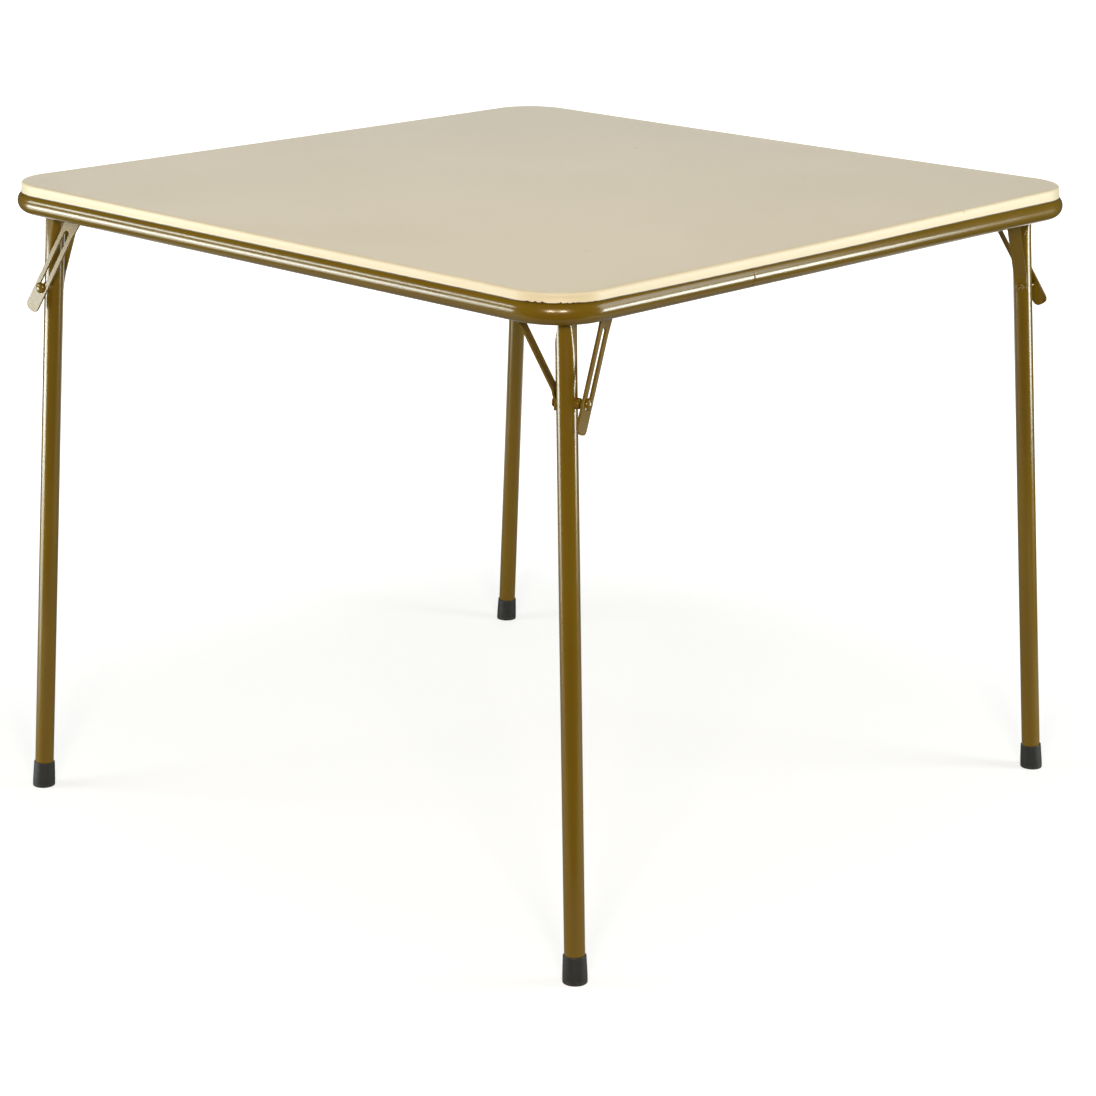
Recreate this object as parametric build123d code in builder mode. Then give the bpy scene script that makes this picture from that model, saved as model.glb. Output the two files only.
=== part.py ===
from build123d import *
from math import asin, cos, hypot, radians, sin, sqrt, tan
import os

# Square folding table with a padded top on a bent tube rail.
# One leg stands at each corner and folds along the rail to its right, so the four make a pinwheel.
# Millimetres, +Z up, origin on the floor under the middle of the top.

# Whole table
table_side = 863.6
table_height = 703.0

# Clearances
seat_gap = 0.1
pin_clearance = 0.06
side_gap = 0.3
overrun = 5.0

# Rail tube
rail_diameter = 25.4
rail_wall = 1.2
rail_corner_radius = 63.0
rail_seam_from_middle = 149.0
rail_seam_gap = 0.3
sleeve_length = 60.0
sleeve_wall = 1.2

# Padded top
board_thickness = 3.2
foam_thickness = 2.5
cover_thickness = 0.8
cover_inset = 4.8
cover_edge_radius = 3.0

# Leg hinge, placed from the outer faces of the rail and from the underside of the board
hinge_from_end = 57.0
hinge_from_side = 42.8
hinge_below_board = 16.5
hinge_shift_along = {"front": 0.7, "right": -0.5, "back": 0.2, "left": 1.1}
hinge_shift_inward = {"front": 3.8, "right": -0.3, "back": 0.0, "left": -2.6}

# The hinge pin is turned in plan, so the folded leg lies inward of the rail, and its outboard end is higher
hinge_turn = 12.3
hinge_tilt = 4.0
hinge_pin_diameter = 6.0
pin_head_diameter = 10.0
pin_head_height = 1.8
pin_head_taper = 35.0

# Leg tube, with its upper end pressed flatter towards the hinge
leg_diameter = 21.3
leg_wall = 1.2
leg_splay = {"front": 3.43, "right": 3.7, "back": 3.62, "left": 3.64}
leg_lean = {"front": 1.5, "right": 2.51, "back": 1.55, "left": 0.62}
leg_flat_length = 46.0
leg_flat_thickness = 16.0
leg_end_radius = 12.0
leg_foot_cover = 6.0

# Foot tip
foot_height = 29.0
foot_top_diameter = 24.0
foot_base_diameter = 25.8
foot_rim = 0.8
foot_edge = 2.0

# Corner bracket under the board
bracket_thickness = 2.0
bracket_ear_thickness = 2.4
bracket_ear_radius = 9.0
bracket_margin = 5.0
bracket_corner_fillet = 6.0
bracket_screw_diameter = 3.5
bracket_screw_head_diameter = 8.0
bracket_screw_head_height = 2.2
bracket_screw_head_taper = 30.0
bracket_screw_inset = 38.0
bracket_screw_spread = 30.0
bracket_screw_bite = 2.6

# Flat strap that stiffens the leg sideways
strap_thickness = 2.0
strap_width = 14.6
strap_turn = 78.3
strap_slope = 26.8
strap_below_rivet = 8.2
strap_above_rivet = 12.0
strap_bend_radius = 10.0
strap_eye_radius = 8.0
strap_eye_from_hinge = 46.0
strap_rivet_diameter = 4.8
strap_rivet_head_diameter = 9.0
strap_rivet_head_height = 1.7

# Slotted brace that locks the leg
rivet_from_hinge = 91.5
brace_thickness = 2.4
brace_width = 17.3
brace_eye_radius = 11.0
brace_pivot_from_hinge = 49.0
brace_outboard = 19.6
brace_neck = 33.0
brace_tail_past_rivet = 22.0
slot_width = 6.5
slot_start = 31.6
slot_past_rivet = 3.5

# Rivet that slides in the slot, with its collar on the leg
rivet_shaft_diameter = 5.5
rivet_head_diameter = 10.4
rivet_head_height = 3.2
collar_diameter = 11.0
collar_reach = 15.5
collar_edge = 1.2

# Heights and places worked out from the values above
half_side = table_side / 2
rail_radius = rail_diameter / 2
leg_radius = leg_diameter / 2
leg_wall_reach = 2 * leg_wall
leg_flat_slope = (leg_radius - leg_flat_thickness / 2) / leg_flat_length
board_top = table_height - cover_thickness - foam_thickness
board_bottom = board_top - board_thickness
web_top = board_bottom - seat_gap
web_bottom = web_top - bracket_thickness
rail_height = board_bottom - seat_gap - rail_radius
rail_line = half_side - rail_radius
rail_line_corner = rail_corner_radius - rail_radius
cover_side = table_side - 2 * cover_inset
cover_corner = rail_corner_radius - cover_inset
cover_inner_side = cover_side - 2 * cover_thickness
cover_shoulder = cover_inner_side / 2 - rail_line
cover_bottom = rail_height + sqrt(rail_radius**2 - cover_shoulder**2) + seat_gap
hinge_height = board_bottom - hinge_below_board
brace_ear_face = brace_outboard - side_gap - bracket_ear_thickness
eye_ear_face = -strap_eye_from_hinge - side_gap - bracket_ear_thickness
turns = {"front": 0, "right": 90, "back": 180, "left": 270}


def corner_plane(name, height):
    """Level plane at a corner: x along the rail the leg folds along, y inward from that rail."""
    corner = Vector(-half_side, -half_side, height).rotate(Axis.Z, turns[name])
    along = Vector(1, 0, 0).rotate(Axis.Z, turns[name])
    return Plane(origin=corner, x_dir=along, z_dir=Vector(0, 0, 1))


def direction(plane, x, y, z):
    """A direction given in a plane's own axes."""
    return plane.x_dir * x + plane.y_dir * y + plane.z_dir * z


def hinge_plane(name):
    """Plane the leg turns in, at its hinge: x folding, y up, z outboard along the hinge pin."""
    corner = corner_plane(name, hinge_height)
    along = hinge_from_end + hinge_shift_along[name]
    inward = hinge_from_side + hinge_shift_inward[name]
    turn = radians(hinge_turn)
    tilt = radians(hinge_tilt)
    folding = direction(corner, cos(turn), sin(turn), 0)
    outboard = direction(corner, sin(turn) * cos(tilt), -cos(turn) * cos(tilt), sin(tilt))
    return Plane(origin=corner.from_local_coords(Vector(along, inward, 0)), x_dir=folding, z_dir=outboard)


def leg_plane(name):
    """Plane square to the leg at its hinge: z up the leg, y inboard."""
    corner = corner_plane(name, hinge_height)
    hinge = hinge_plane(name)
    up = direction(corner, tan(radians(leg_lean[name])), tan(radians(leg_splay[name])), 1).normalized()
    return Plane(origin=hinge.origin, x_dir=up.cross(hinge.z_dir).normalized(), z_dir=up)


def rivet_place(name):
    """Where the axis of the sliding rivet crosses the leg, in the hinge plane's axes."""
    leg = leg_plane(name)
    return hinge_plane(name).to_local_coords(leg.origin - leg.z_dir * rivet_from_hinge)


def brace_plane(name):
    """Plane of the brace's inner face at its pivot: x down the slot towards the rivet."""
    hinge = hinge_plane(name)
    rivet = rivet_place(name)
    pivot = hinge.from_local_coords(Vector(brace_pivot_from_hinge, 0, brace_outboard))
    along = direction(hinge, rivet.X - brace_pivot_from_hinge, rivet.Y, 0)
    return Plane(origin=pivot, x_dir=along, z_dir=hinge.z_dir)


def rivet_from_pivot(name):
    """Distance from the brace's pivot to the rivet with the leg standing."""
    rivet = rivet_place(name)
    return hypot(rivet.X - brace_pivot_from_hinge, rivet.Y)


def leg_length(name):
    """Distance from the hinge to the floor along the leg."""
    return hinge_height / leg_plane(name).z_dir.Z


def meeting_point(plane, start, along):
    """Where a line from start meets a plane, in that plane's axes."""
    distance = (plane.origin - start).dot(plane.z_dir) / along.dot(plane.z_dir)
    return plane.to_local_coords(start + along * distance)


def strap_rivet_plane(name):
    """Plane on the leg's surface under the strap, at the strap's rivet: x sideways, y up the leg."""
    leg = leg_plane(name)
    outward = direction(leg, -cos(radians(strap_turn)), sin(radians(strap_turn)), 0)
    origin = leg.origin - leg.z_dir * rivet_from_hinge + outward * leg_radius
    return Plane(origin=origin, x_dir=leg.z_dir.cross(outward), z_dir=outward)


def write(piece, name):
    """Label a finished piece and write its file."""
    piece.part.label = name
    export_step(piece.part, f"parts/{name}.step")


# Rail

def make_rail_tube():
    seam = -rail_seam_from_middle
    half_gap = rail_seam_gap / 2
    with BuildPart() as rail_tube:
        with BuildLine() as path:
            FilletPolyline(
                (seam + half_gap, -rail_line, rail_height),
                (rail_line, -rail_line, rail_height),
                (rail_line, rail_line, rail_height),
                (-rail_line, rail_line, rail_height),
                (-rail_line, -rail_line, rail_height),
                (seam - half_gap, -rail_line, rail_height),
                radius=rail_line_corner,
            )
        with BuildSketch(Plane(origin=path.line @ 0, z_dir=path.line % 0)):
            Circle(rail_radius)
            Circle(rail_radius - rail_wall, mode=Mode.SUBTRACT)
        sweep()
    return rail_tube


def make_rail_sleeve():
    middle = Vector(-rail_seam_from_middle, -rail_line, rail_height)
    sleeve_radius = rail_radius - rail_wall - pin_clearance
    with BuildPart() as rail_sleeve:
        with BuildSketch(Plane(origin=middle, z_dir=(1, 0, 0))):
            Circle(sleeve_radius)
            Circle(sleeve_radius - sleeve_wall, mode=Mode.SUBTRACT)
        extrude(amount=sleeve_length / 2, both=True)
    return rail_sleeve


# Padded top

def screw_places():
    """Screw centres in a corner plane's axes."""
    return [
        (bracket_screw_inset, bracket_screw_inset),
        (bracket_screw_inset, bracket_screw_inset + bracket_screw_spread),
    ]


def make_board():
    side = cover_inner_side - 2 * seat_gap
    with BuildPart() as board:
        with BuildSketch(Plane.XY.offset(board_bottom)):
            RectangleRounded(side, side, cover_corner - cover_thickness - seat_gap)
        extrude(amount=board_thickness)
        for name in turns:
            with BuildSketch(corner_plane(name, board_bottom)):
                with Locations(*screw_places()):
                    Circle(bracket_screw_diameter / 2 + pin_clearance)
            extrude(amount=board_thickness, mode=Mode.SUBTRACT)
    return board


def make_foam():
    side = cover_inner_side - 2 * seat_gap
    with BuildPart() as foam:
        with BuildSketch(Plane.XY.offset(board_top)):
            RectangleRounded(side, side, cover_corner - cover_thickness - seat_gap)
        extrude(amount=foam_thickness)
        fillet(foam.faces().sort_by(Axis.Z)[-1].edges(), cover_edge_radius - cover_thickness)
    return foam


def make_cover():
    with BuildPart() as inside:
        with BuildSketch(Plane.XY.offset(cover_bottom - overrun)):
            RectangleRounded(cover_inner_side, cover_inner_side, cover_corner - cover_thickness)
        extrude(amount=board_top + foam_thickness - cover_bottom + overrun)
        fillet(inside.faces().sort_by(Axis.Z)[-1].edges(), cover_edge_radius - cover_thickness)
    with BuildPart() as cover:
        with BuildSketch(Plane.XY.offset(cover_bottom)):
            RectangleRounded(cover_side, cover_side, cover_corner)
        extrude(amount=table_height - cover_bottom)
        fillet(cover.faces().sort_by(Axis.Z)[-1].edges(), cover_edge_radius)
        add(inside.part, mode=Mode.SUBTRACT)
    return cover


# Corner bracket and its fasteners

def outboard_ear_face(name):
    """Inner face of the outboard hinge ear, clear of the leg where it widens down to the ear's edge."""
    set_angle = abs(asin(leg_plane(name).z_dir.dot(hinge_plane(name).z_dir)))
    widening = bracket_ear_radius * (leg_flat_slope + sin(set_angle))
    return leg_flat_thickness / 2 / cos(set_angle) + widening + side_gap


def make_bracket(name):
    corner = corner_plane(name, web_bottom)
    hinge = hinge_plane(name)
    shoulder = sqrt(rail_radius**2 - (web_bottom - rail_height) ** 2)
    inset = rail_radius + shoulder + seat_gap
    reach = bracket_ear_radius + bracket_margin
    ears = [
        (outboard_ear_face(name), 0),
        (eye_ear_face, 0),
        (brace_ear_face, brace_pivot_from_hinge),
    ]
    brace_end = corner.to_local_coords(
        hinge.from_local_coords(Vector(brace_pivot_from_hinge + reach, 0, brace_ear_face - bracket_margin))
    )
    eye_end = corner.to_local_coords(hinge.from_local_coords(Vector(reach, 0, eye_ear_face - bracket_margin)))
    with BuildPart() as bracket:
        with BuildSketch(corner) as web:
            with BuildLine():
                Polyline(
                    (inset, inset),
                    (brace_end.X, inset),
                    (brace_end.X, brace_end.Y),
                    (eye_end.X, eye_end.Y),
                    (inset, eye_end.Y),
                    close=True,
                )
            make_face()
            outer_corner = web.vertices().sort_by_distance(Vector(0, 0, 0))[0]
            fillet(outer_corner, rail_corner_radius - inset)
            fillet(web.vertices().sort_by_distance(Vector(0, 0, 0))[2:], bracket_corner_fillet)
        extrude(amount=bracket_thickness)
        for face, across in ears:
            with BuildSketch(hinge.offset(face)):
                with Locations((across, 0)):
                    Circle(bracket_ear_radius)
                    Rectangle(2 * bracket_ear_radius, 2 * hinge_below_board, align=(Align.CENTER, Align.MIN))
                    Circle(hinge_pin_diameter / 2 + pin_clearance, mode=Mode.SUBTRACT)
            extrude(amount=bracket_ear_thickness)
        split(bisect_by=Plane.XY.offset(web_top), keep=Keep.BOTTOM)
        with BuildSketch(corner):
            with Locations(*screw_places()):
                Circle(bracket_screw_diameter / 2 + pin_clearance)
        extrude(amount=bracket_thickness, mode=Mode.SUBTRACT)
    return bracket


def make_screws(name):
    reach = bracket_thickness + seat_gap + bracket_screw_bite
    with BuildPart() as screws:
        with BuildSketch(corner_plane(name, web_bottom)):
            with Locations(*screw_places()):
                Circle(bracket_screw_diameter / 2)
        extrude(amount=reach)
        with BuildSketch(corner_plane(name, web_bottom)):
            with Locations(*screw_places()):
                Circle(bracket_screw_head_diameter / 2)
        extrude(amount=-bracket_screw_head_height, taper=bracket_screw_head_taper)
    return screws


def make_pin(plane, start, end):
    """Round pin along a plane's normal with a head on each end, from start to end under the heads."""
    with BuildPart() as pin:
        with BuildSketch(plane.offset(start - pin_head_height)):
            Circle(hinge_pin_diameter / 2)
        extrude(amount=end - start + 2 * pin_head_height)
        with BuildSketch(plane.offset(end)):
            Circle(pin_head_diameter / 2)
        extrude(amount=pin_head_height, taper=pin_head_taper)
        with BuildSketch(plane.offset(start)):
            Circle(pin_head_diameter / 2)
        extrude(amount=-pin_head_height, taper=pin_head_taper)
    return pin


def make_hinge_pin(name):
    end = outboard_ear_face(name) + bracket_ear_thickness + seat_gap
    return make_pin(hinge_plane(name), eye_ear_face - seat_gap, end)


def make_brace_pin(name):
    hinge = hinge_plane(name)
    origin = hinge.from_local_coords(Vector(brace_pivot_from_hinge, 0, 0))
    pivot = Plane(origin=origin, x_dir=hinge.x_dir, z_dir=hinge.z_dir)
    return make_pin(pivot, brace_ear_face - seat_gap, brace_outboard + brace_thickness + side_gap)


# Leg and what is fixed to it

def flattened_rod(plane, radius, thickness, bottom, top):
    """Round rod along a plane's normal, pressed to a thickness at the plane and round below it."""
    slope = (radius - thickness / 2) / leg_flat_length
    side = Plane(origin=plane.origin, x_dir=plane.y_dir, z_dir=plane.x_dir)
    low = -leg_flat_length - overrun
    with BuildPart() as rod:
        with BuildSketch(plane.offset(bottom)):
            Circle(radius)
        extrude(amount=top - bottom)
        for sign in (1, -1):
            with BuildSketch(side):
                with BuildLine():
                    Polyline(
                        (sign * (thickness / 2 - slope * low), low),
                        (sign * (thickness / 2 - slope * top), top),
                        (sign * 2 * radius, top),
                        (sign * 2 * radius, low),
                        close=True,
                    )
                make_face()
            extrude(amount=radius + overrun, both=True, mode=Mode.SUBTRACT)
    return rod


def make_leg(name):
    leg = leg_plane(name)
    hinge = hinge_plane(name)
    bottom = leg_foot_cover - leg_length(name)
    inner_radius = leg_radius - leg_wall
    inner_thickness = leg_flat_thickness - 2 * leg_wall
    outer = flattened_rod(leg, leg_radius, leg_flat_thickness, bottom, leg_diameter)
    inner = flattened_rod(leg, inner_radius, inner_thickness, bottom - overrun, leg_diameter + overrun)
    with BuildPart() as leg_tube:
        add(outer.part)
        add(inner.part, mode=Mode.SUBTRACT)
        with BuildSketch(Plane(origin=hinge.origin, x_dir=leg.x_dir, z_dir=hinge.z_dir)):
            Rectangle(2 * leg_diameter, 2 * leg_diameter, align=(Align.CENTER, Align.MIN))
            Circle(leg_end_radius, mode=Mode.SUBTRACT)
        extrude(amount=leg_diameter, both=True, mode=Mode.SUBTRACT)
        with BuildSketch(hinge):
            Circle(hinge_pin_diameter / 2 + pin_clearance)
        extrude(amount=leg_diameter, both=True, mode=Mode.SUBTRACT)
        with BuildSketch(rivet_plane(name)):
            Circle(rivet_shaft_diameter / 2 + pin_clearance)
        extrude(amount=leg_diameter, mode=Mode.SUBTRACT)
        with BuildSketch(strap_rivet_plane(name)):
            Circle(strap_rivet_diameter / 2 + pin_clearance)
        extrude(amount=-leg_wall_reach - overrun, mode=Mode.SUBTRACT)
    return leg_tube


def make_foot(name):
    leg = leg_plane(name)
    side = Plane(origin=leg.origin - leg.z_dir * leg_length(name), x_dir=leg.x_dir, z_dir=-leg.y_dir)
    bore = leg_radius + pin_clearance
    base = foot_base_diameter / 2
    top = foot_top_diameter / 2
    with BuildPart() as foot:
        with BuildSketch(side):
            with BuildLine():
                Polyline(
                    (0, -foot_edge),
                    (base - 2 * foot_edge, -foot_edge),
                    (base, foot_edge),
                    (top, foot_height - foot_rim),
                    (top - foot_rim, foot_height),
                    (bore, foot_height),
                    (bore, leg_foot_cover - seat_gap),
                    (0, leg_foot_cover - seat_gap),
                    close=True,
                )
            make_face()
        revolve(axis=Axis(side.origin, leg.z_dir))
        split(bisect_by=Plane.XY, keep=Keep.TOP)
    return foot


def make_strap(name):
    leg = leg_plane(name)
    hinge = hinge_plane(name)
    rivet = strap_rivet_plane(name)
    slope = radians(strap_slope)
    sideways = rivet.x_dir
    outward = rivet.z_dir
    rising = leg.z_dir * cos(slope) + outward * sin(slope)
    profile = Plane(origin=rivet.origin, x_dir=outward, z_dir=-sideways)
    eye_outer = hinge.offset(-strap_eye_from_hinge)
    top_middle = hinge.origin + hinge.y_dir * strap_eye_radius
    strap_top = Plane(origin=top_middle, x_dir=hinge.x_dir, z_dir=hinge.y_dir)
    middle = seat_gap + strap_thickness / 2
    rise = 2 * rivet_from_hinge
    bend = rivet.origin + outward * middle + rivet.y_dir * strap_above_rivet
    half = strap_width / 2
    edge_points = [meeting_point(eye_outer, bend + sideways * s, rising) for s in (-half, half)]
    with BuildPart() as strap:
        with BuildSketch(profile):
            with BuildLine():
                FilletPolyline(
                    (middle, -strap_below_rivet),
                    (middle, strap_above_rivet),
                    (middle + rise * sin(slope), strap_above_rivet + rise * cos(slope)),
                    radius=strap_bend_radius,
                )
            trace(line_width=strap_thickness)
        extrude(amount=half, both=True)
        with BuildSketch(rivet):
            with Locations((0, half - strap_below_rivet)):
                Circle(half)
                Rectangle(strap_width, 2 * rise, align=(Align.CENTER, Align.MIN))
        extrude(amount=rise, mode=Mode.INTERSECT)
        split(bisect_by=eye_outer, keep=Keep.TOP)
        with BuildSketch(eye_outer):
            Circle(strap_eye_radius)
            with Locations(*[(p.X, p.Y) for p in edge_points]):
                Circle(strap_thickness / 2)
            make_hull()
            Circle(hinge_pin_diameter / 2 + pin_clearance, mode=Mode.SUBTRACT)
        extrude(amount=strap_thickness)
        split(bisect_by=strap_top, keep=Keep.BOTTOM)
        with BuildSketch(rivet):
            Circle(strap_rivet_diameter / 2 + pin_clearance)
        extrude(amount=middle + strap_thickness, mode=Mode.SUBTRACT)
    return strap


def make_strap_rivet(name):
    plane = strap_rivet_plane(name)
    face = strap_thickness + 2 * seat_gap
    with BuildPart() as strap_rivet:
        with BuildSketch(plane.offset(-leg_wall_reach)):
            Circle(strap_rivet_diameter / 2)
        extrude(amount=leg_wall_reach + face)
        with BuildSketch(plane.offset(face)):
            Circle(strap_rivet_head_diameter / 2)
        extrude(amount=strap_rivet_head_height)
        top = strap_rivet.faces().sort_by(Axis(plane.origin, plane.z_dir))[-1]
        fillet(top.edges(), strap_rivet_head_height - seat_gap)
    return strap_rivet


def rivet_plane(name):
    """Plane through the leg's axis at the sliding rivet, with the rivet along its normal."""
    leg = leg_plane(name)
    hinge = hinge_plane(name)
    return Plane(origin=leg.origin - leg.z_dir * rivet_from_hinge, x_dir=hinge.x_dir, z_dir=hinge.z_dir)


def make_collar(name):
    leg = leg_plane(name)
    plane = rivet_plane(name)
    with BuildPart() as clear_of_leg:
        with BuildSketch(leg.offset(-rivet_from_hinge - collar_diameter)):
            Circle(leg_radius + seat_gap)
        extrude(amount=2 * collar_diameter)
    with BuildPart() as collar:
        with BuildSketch(plane):
            Circle(collar_diameter / 2)
        extrude(amount=collar_reach)
        top = collar.faces().sort_by(Axis(plane.origin, plane.z_dir))[-1]
        fillet(top.edges(), collar_edge)
        add(clear_of_leg.part, mode=Mode.SUBTRACT)
        with BuildSketch(plane.offset(leg_radius - leg_wall_reach)):
            Circle(rivet_shaft_diameter / 2)
        extrude(amount=collar_reach - leg_radius)
    return collar


# Brace and its sliding rivet

def make_brace(name):
    plane = brace_plane(name)
    reach = rivet_from_pivot(name)
    half = brace_width / 2
    with BuildPart() as brace:
        with BuildSketch(plane):
            Circle(brace_eye_radius)
            with Locations((brace_neck, 0)):
                Circle(half)
            make_hull()
        extrude(amount=brace_thickness)
        with BuildSketch(plane):
            with Locations((brace_neck, 0), (reach + brace_tail_past_rivet, 0)):
                Circle(half)
            make_hull()
        extrude(amount=brace_thickness)
        with BuildSketch(plane):
            with Locations((slot_start, 0), (reach + slot_past_rivet, 0)):
                Circle(slot_width / 2)
            make_hull()
        extrude(amount=brace_thickness, mode=Mode.SUBTRACT)
        with BuildSketch(plane):
            Circle(hinge_pin_diameter / 2 + pin_clearance)
        extrude(amount=brace_thickness, mode=Mode.SUBTRACT)
    return brace


def make_slide_rivet(name):
    plane = rivet_plane(name)
    brace_face = brace_outboard - rivet_place(name).Z
    head_face = brace_face + brace_thickness + side_gap
    shaft_start = collar_reach + side_gap
    with BuildPart() as slide_rivet:
        with BuildSketch(plane.offset(shaft_start)):
            Circle(rivet_shaft_diameter / 2)
        extrude(amount=head_face - shaft_start)
        with BuildSketch(plane.offset(head_face)):
            Circle(rivet_head_diameter / 2)
        extrude(amount=rivet_head_height)
        top = slide_rivet.faces().sort_by(Axis(plane.origin, plane.z_dir))[-1]
        fillet(top.edges(), rivet_head_height - seat_gap)
    return slide_rivet


def main():
    os.makedirs("parts", exist_ok=True)
    write(make_rail_tube(), "rail_tube")
    write(make_rail_sleeve(), "rail_sleeve")
    write(make_board(), "panel_board")
    write(make_foam(), "panel_foam")
    write(make_cover(), "panel_cover")
    for name in turns:
        write(make_bracket(name), f"bracket_{name}")
        write(make_screws(name), f"bracket_screws_{name}")
        write(make_hinge_pin(name), f"hinge_pin_{name}")
        write(make_brace_pin(name), f"brace_pin_{name}")
        write(make_leg(name), f"leg_tube_{name}")
        write(make_foot(name), f"foot_tip_{name}")
        write(make_strap(name), f"strap_{name}")
        write(make_strap_rivet(name), f"strap_rivet_{name}")
        write(make_collar(name), f"rivet_collar_{name}")
        write(make_brace(name), f"slotted_brace_{name}")
        write(make_slide_rivet(name), f"slide_rivet_{name}")


main()
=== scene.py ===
"""Looks of a square folding table with a padded vinyl top on a bent tube rail.

Sizes are in millimetres and turned into metres where a mesh is made. The frame is the CAD part's own:
+Z up, origin on the floor under the middle of the top.
"""

import logging
import math
from dataclasses import dataclass, field
from enum import Enum
from typing import Callable, Optional, Sequence

import bmesh
import bpy
from mathutils import Matrix, Vector


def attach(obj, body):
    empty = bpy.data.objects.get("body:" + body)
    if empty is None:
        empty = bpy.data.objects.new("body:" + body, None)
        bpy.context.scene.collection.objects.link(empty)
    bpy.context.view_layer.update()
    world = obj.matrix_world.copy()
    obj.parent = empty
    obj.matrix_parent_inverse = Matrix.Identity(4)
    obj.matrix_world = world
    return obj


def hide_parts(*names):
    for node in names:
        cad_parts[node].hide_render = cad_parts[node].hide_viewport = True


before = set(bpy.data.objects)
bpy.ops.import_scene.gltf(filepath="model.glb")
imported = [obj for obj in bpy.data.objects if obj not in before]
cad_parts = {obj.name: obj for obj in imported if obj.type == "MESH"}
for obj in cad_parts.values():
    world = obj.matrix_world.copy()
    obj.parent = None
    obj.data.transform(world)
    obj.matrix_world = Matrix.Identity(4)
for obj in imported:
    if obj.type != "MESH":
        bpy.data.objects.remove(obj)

MM = 0.001
SAME_PLACE = 1e-7
MERGE_REACH = 1e-6
TOP_FRAME = "top_frame"
# Attribute that carries how much painted shade the vinyl's hem shows.
HEM_SHADE_MARK = "hem"
PAINT_SLOT = "frame_paint"

log = logging.getLogger("folding_table")

Point = tuple[float, float]
Colour = tuple[int, int, int]


# Places


class Corner(Enum):
    """The four corners, each with its own leg and hinge."""

    FRONT = ("front", 0.0, 1.5, 3.43, 0.7, 3.8)
    RIGHT = ("right", 90.0, 2.51, 3.7, -0.5, -0.3)
    BACK = ("back", 180.0, 1.55, 3.62, 0.2, 0.0)
    LEFT = ("left", 270.0, 0.62, 3.64, 1.1, -2.6)

    def __init__(
        self, label: str, turn: float, lean: float, splay: float, along: float, inward: float
    ) -> None:
        """Keeps what each corner is given.

        Args:
            label: The corner's part of every name.
            turn: Its turn from the front corner in degrees.
            lean: How far its leg leans along the rail in degrees.
            splay: How far its leg splays in degrees.
            along: How far its hinge is along the rail from the usual place in millimetres.
            inward: How far its hinge is inward from the usual place in millimetres.
        """
        self.label = label
        self.turn = turn
        self.lean = lean
        self.splay = splay
        self.along = along
        self.inward = inward


@dataclass(frozen=True)
class Axes:
    """Right-handed axes at a place in the table's frame, in millimetres."""

    origin: Vector
    x: Vector
    y: Vector
    z: Vector

    def point(self, x: float, y: float, z: float) -> Vector:
        """Point of the table's frame for a point in these axes."""
        return self.origin + self.x * x + self.y * y + self.z * z

    def local(self, point: Vector) -> Vector:
        """A point of the table's frame in these axes."""
        offset = point - self.origin
        return Vector((offset.dot(self.x), offset.dot(self.y), offset.dot(self.z)))


@dataclass(frozen=True)
class TableSizes:
    """Sizes that more than one sub-assembly reads."""

    side: float = 863.6
    height: float = 703.0
    rail_radius: float = 12.7
    corner_radius: float = 63.0
    rail_height: float = 683.7
    hinge_from_end: float = 57.0
    hinge_from_side: float = 42.8
    hinge_height: float = 680.0
    hinge_turn: float = 12.3
    hinge_tilt: float = 4.0
    leg_radius: float = 10.65
    rivet_from_hinge: float = 91.5


@dataclass(frozen=True)
class CornerPlaces:
    """Axes of the hinge, leg and sliding rivet at one corner."""

    corner: Corner
    sizes: TableSizes

    def turned(self, x: float, y: float, z: float) -> Vector:
        """A vector of the front corner turned to this one."""
        return Matrix.Rotation(math.radians(self.corner.turn), 3, "Z") @ Vector((x, y, z))

    def hinge(self) -> Axes:
        """Axes at the hinge: x along the fold, y up, z outboard along the hinge pin.

        Returns:
            The axes in the table's frame.
        """
        half = self.sizes.side / 2
        turn, tilt = math.radians(self.sizes.hinge_turn), math.radians(self.sizes.hinge_tilt)
        along = self.sizes.hinge_from_end + self.corner.along - half
        inward = self.sizes.hinge_from_side + self.corner.inward - half
        fold = self.turned(math.cos(turn), math.sin(turn), 0)
        level = math.cos(tilt)
        outboard = self.turned(math.sin(turn) * level, -math.cos(turn) * level, math.sin(tilt))
        return Axes(self.turned(along, inward, self.sizes.hinge_height), fold, outboard.cross(fold), outboard)

    def leg(self) -> Axes:
        """Axes at the hinge with z up the leg, x across it along the fold and y inboard.

        Returns:
            The axes in the table's frame.
        """
        hinge = self.hinge()
        lean, splay = math.radians(self.corner.lean), math.radians(self.corner.splay)
        up = self.turned(math.tan(lean), math.tan(splay), 1).normalized()
        across = up.cross(hinge.z).normalized()
        return Axes(hinge.origin, across, up.cross(across), up)

    def leg_length(self) -> float:
        """Distance from the hinge to the floor along the leg."""
        return self.sizes.hinge_height / self.leg().z.z

    def slide_rivet(self) -> Axes:
        """Axes on the leg's axis at the sliding rivet, with z along the rivet."""
        hinge = self.hinge()
        return Axes(self.leg().point(0, 0, -self.sizes.rivet_from_hinge), hinge.x, hinge.y, hinge.z)


# Meshes


def linked(name: str, data: bpy.types.ID) -> bpy.types.Object:
    """New object of the scene with this data.

    Args:
        name: Name of the object.
        data: Its mesh, curve, lamp or camera.

    Returns:
        The object.
    """
    made = bpy.data.objects.new(name, data)
    bpy.context.scene.collection.objects.link(made)
    return made


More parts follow.
